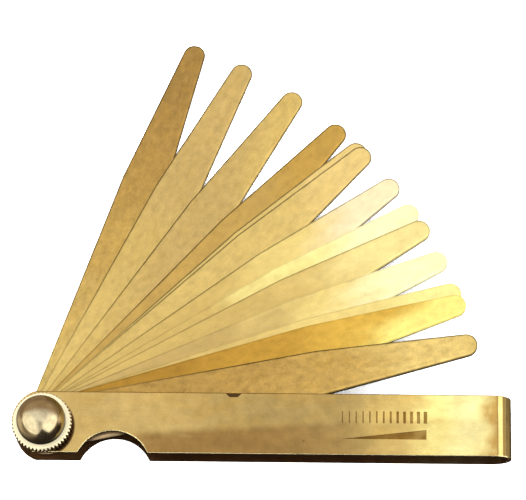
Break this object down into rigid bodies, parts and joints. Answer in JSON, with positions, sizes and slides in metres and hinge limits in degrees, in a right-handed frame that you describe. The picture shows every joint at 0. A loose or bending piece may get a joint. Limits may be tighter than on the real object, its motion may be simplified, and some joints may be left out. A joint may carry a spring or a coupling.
{
  "type": "feeler gauge",
  "caption": "Folding feeler gauge: tapered brass leaves of stepped thickness fan out of a U-bent strip holder, clamped on their pivot by a knurled dome nut.",
  "frame": {"origin": "where the pivot axis of the leaves meets the flat back of the holder", "axes": "+X along the holder from the pivot to its bend, +Y towards the side where the leaves fan out, +Z out of the front cheek, along the stud towards the dome nut"},
  "size_m": [0.107, 0.0964, 0.0175],
  "materials": {
    "holder_brass": "bright rolled brass strip with a faint lengthwise grain and a few handling marks",
    "leaf_brass": "satin rolled brass sheet with fine lengthwise grain and mottled tarnish",
    "nut_brass": "turned and polished brass with a straight knurl",
    "stud_brass": "turned brass, threaded",
    "washer_brass": "stamped brass"
  },
  "bodies": {
    "holder": {"holder": "holder_brass", "clamp_stud": "stud_brass"},
    "leaf_0_05mm": {"leaf_0_05mm": "leaf_brass"},
    "leaf_0_10mm": {"leaf_0_10mm": "leaf_brass"},
    "leaf_0_15mm": {"leaf_0_15mm": "leaf_brass"},
    "leaf_0_20mm": {"leaf_0_20mm": "leaf_brass"},
    "leaf_0_25mm": {"leaf_0_25mm": "leaf_brass"},
    "leaf_0_30mm": {"leaf_0_30mm": "leaf_brass"},
    "leaf_0_40mm": {"leaf_0_40mm": "leaf_brass"},
    "leaf_0_50mm": {"leaf_0_50mm": "leaf_brass"},
    "leaf_0_60mm": {"leaf_0_60mm": "leaf_brass"},
    "leaf_0_70mm": {"leaf_0_70mm": "leaf_brass"},
    "leaf_0_80mm": {"leaf_0_80mm": "leaf_brass"},
    "leaf_0_90mm": {"leaf_0_90mm": "leaf_brass"},
    "leaf_1_00mm": {"leaf_1_00mm": "leaf_brass"},
    "washer": {"washer": "washer_brass"},
    "dome_nut": {"dome_nut": "nut_brass"}
  },
  "joints": [
    {"name": "leaf_0_05mm_swing", "type": "hinge", "parent": "holder", "child": "leaf_0_05mm", "pos_m": [0, 0, 0], "axis": [0, 0, 1], "range_deg": [-71.04, 108.96]},
    {"name": "leaf_0_10mm_swing", "type": "hinge", "parent": "holder", "child": "leaf_0_10mm", "pos_m": [0, 0, 0], "axis": [0, 0, 1], "range_deg": [-63.84, 116.16]},
    {"name": "leaf_0_15mm_swing", "type": "hinge", "parent": "holder", "child": "leaf_0_15mm", "pos_m": [0, 0, 0], "axis": [0, 0, 1], "range_deg": [-55.66, 124.34]},
    {"name": "leaf_0_20mm_swing", "type": "hinge", "parent": "holder", "child": "leaf_0_20mm", "pos_m": [0, 0, 0], "axis": [0, 0, 1], "range_deg": [-47.92, 132.08]},
    {"name": "leaf_0_25mm_swing", "type": "hinge", "parent": "holder", "child": "leaf_0_25mm", "pos_m": [0, 0, 0], "axis": [0, 0, 1], "range_deg": [-43.94, 136.06]},
    {"name": "leaf_0_30mm_swing", "type": "hinge", "parent": "holder", "child": "leaf_0_30mm", "pos_m": [0, 0, 0], "axis": [0, 0, 1], "range_deg": [-43, 137]},
    {"name": "leaf_0_40mm_swing", "type": "hinge", "parent": "holder", "child": "leaf_0_40mm", "pos_m": [0, 0, 0], "axis": [0, 0, 1], "range_deg": [-36.95, 143.05]},
    {"name": "leaf_0_50mm_swing", "type": "hinge", "parent": "holder", "child": "leaf_0_50mm", "pos_m": [0, 0, 0], "axis": [0, 0, 1], "range_deg": [-32.31, 147.69]},
    {"name": "leaf_0_60mm_swing", "type": "hinge", "parent": "holder", "child": "leaf_0_60mm", "pos_m": [0, 0, 0], "axis": [0, 0, 1], "range_deg": [-29.45, 150.55]},
    {"name": "leaf_0_70mm_swing", "type": "hinge", "parent": "holder", "child": "leaf_0_70mm", "pos_m": [0, 0, 0], "axis": [0, 0, 1], "range_deg": [-24.32, 155.68]},
    {"name": "leaf_0_80mm_swing", "type": "hinge", "parent": "holder", "child": "leaf_0_80mm", "pos_m": [0, 0, 0], "axis": [0, 0, 1], "range_deg": [-19.35, 160.65]},
    {"name": "leaf_0_90mm_swing", "type": "hinge", "parent": "holder", "child": "leaf_0_90mm", "pos_m": [0, 0, 0], "axis": [0, 0, 1], "range_deg": [-17.48, 162.52]},
    {"name": "leaf_1_00mm_swing", "type": "hinge", "parent": "holder", "child": "leaf_1_00mm", "pos_m": [0, 0, 0], "axis": [0, 0, 1], "range_deg": [-11.63, 168.37]},
    {"name": "washer_lift", "type": "slide", "parent": "holder", "child": "washer", "axis": [0, 0, 1], "range_m": [0, 0.0048]},
    {"name": "nut_turn", "type": "hinge", "parent": "washer", "child": "dome_nut", "pos_m": [0, 0, 0], "axis": [0, 0, 1], "range_deg": [0, 2160]}
  ],
  "couplings": [
    {"joint": "washer_lift", "follows": "nut_turn", "m_per_rad": 0.00012732}
  ]
}
